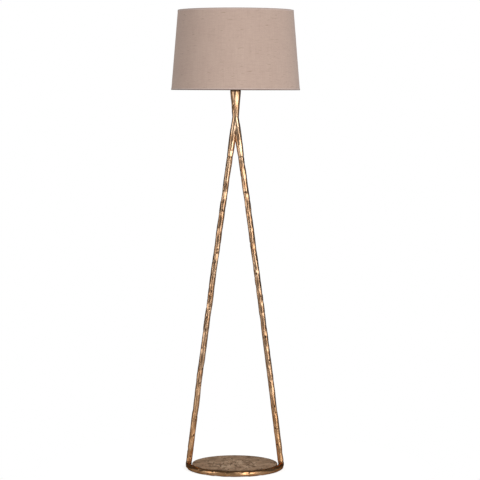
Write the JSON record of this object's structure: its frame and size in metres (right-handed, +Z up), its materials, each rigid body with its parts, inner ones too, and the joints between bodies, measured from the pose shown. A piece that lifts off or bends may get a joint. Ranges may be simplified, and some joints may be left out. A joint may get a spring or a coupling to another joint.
{
  "type": "floor lamp",
  "caption": "Floor lamp with two forged legs spreading from a flared stem to a half hoop round a disc base, under a tapered linen drum shade.",
  "frame": {"origin": "on the floor under the lamp's upright axis", "axes": "+Z up along the stem, X along the line between the two feet, -Y towards the half hoop"},
  "size_m": [0.4499, 0.45, 1.61],
  "materials": {
    "antique_brass": "hand-forged iron rod with a hand-rubbed antique brass finish",
    "bronze_plate": "rough hammered plate with a dull bronze finish",
    "felt": "pressed felt",
    "zinc_steel": "zinc plated",
    "grommet_rubber": "moulded",
    "lead_pvc": "extruded",
    "core_pvc": "extruded",
    "holder_plastic": "moulded phenolic",
    "insert_ceramic": "pressed steatite",
    "contact_brass": "stamped sheet",
    "frame_wire": "white coated wire",
    "linen": "taupe linen weave",
    "shade_liner": "laminating sheet, satin",
    "bulb_shell": "rolled thread",
    "bulb_insulator": "fused black glass",
    "bulb_glass": "clear",
    "bulb_stem_glass": "clear",
    "filament": "phosphor coated"
  },
  "bodies": {
    "stand": {"base_pad": "felt", "base_plate": "bronze_plate", "base_hoop": "antique_brass", "hoop_tabs": "zinc_steel", "tab_screws": "zinc_steel", "left_leg": "antique_brass", "right_leg": "antique_brass", "stem_yoke": "antique_brass", "cord_grommet": "grommet_rubber", "inner_lead": "lead_pvc", "lead_cores": "core_pvc", "threaded_tube": "zinc_steel", "stem_washer": "zinc_steel", "lock_nut": "zinc_steel", "holder_cap": "holder_plastic", "entry_screw": "holder_plastic", "holder_sleeve": "holder_plastic", "holder_insert": "insert_ceramic", "screw_shell": "contact_brass", "centre_contact": "contact_brass", "terminal_screws": "zinc_steel", "switch_block": "holder_plastic"},
    "shade": {"spider_ring": "frame_wire", "spider_arm_1": "frame_wire", "spider_arm_2": "frame_wire", "spider_arm_3": "frame_wire", "shade_bottom_wire": "frame_wire", "shade_top_wire": "frame_wire", "shade_cover": "linen", "shade_liner": "shade_liner", "shade_bottom_hem": "linen", "shade_top_hem": "linen"},
    "shade_nut": {"ring_nut": "holder_plastic"},
    "push_bar": {"switch_bar": "holder_plastic"},
    "bulb": {"bulb_cap": "bulb_shell", "bulb_insulator": "bulb_insulator", "bulb_contact": "contact_brass", "bulb_glass": "bulb_glass", "bulb_stem": "bulb_stem_glass", "bulb_filaments": "filament"}
  },
  "joints": [
    {"name": "shade_turn", "type": "hinge", "parent": "stand", "child": "shade", "pos_m": [0, 0, 1.3695], "axis": [0, 0, 1], "continuous": true},
    {"name": "nut_turn", "type": "hinge", "parent": "stand", "child": "shade_nut", "pos_m": [0, 0, 1.3756], "axis": [0, 0, 1], "range_deg": [0, 1440]},
    {"name": "bulb_turn", "type": "hinge", "parent": "stand", "child": "bulb", "pos_m": [0, 0, 1.39], "axis": [0, 0, 1], "range_deg": [0, 1080]},
    {"name": "bar_slide", "type": "slide", "parent": "stand", "child": "push_bar", "axis": [1, 0, 0], "range_m": [0, 0.006]}
  ]
}
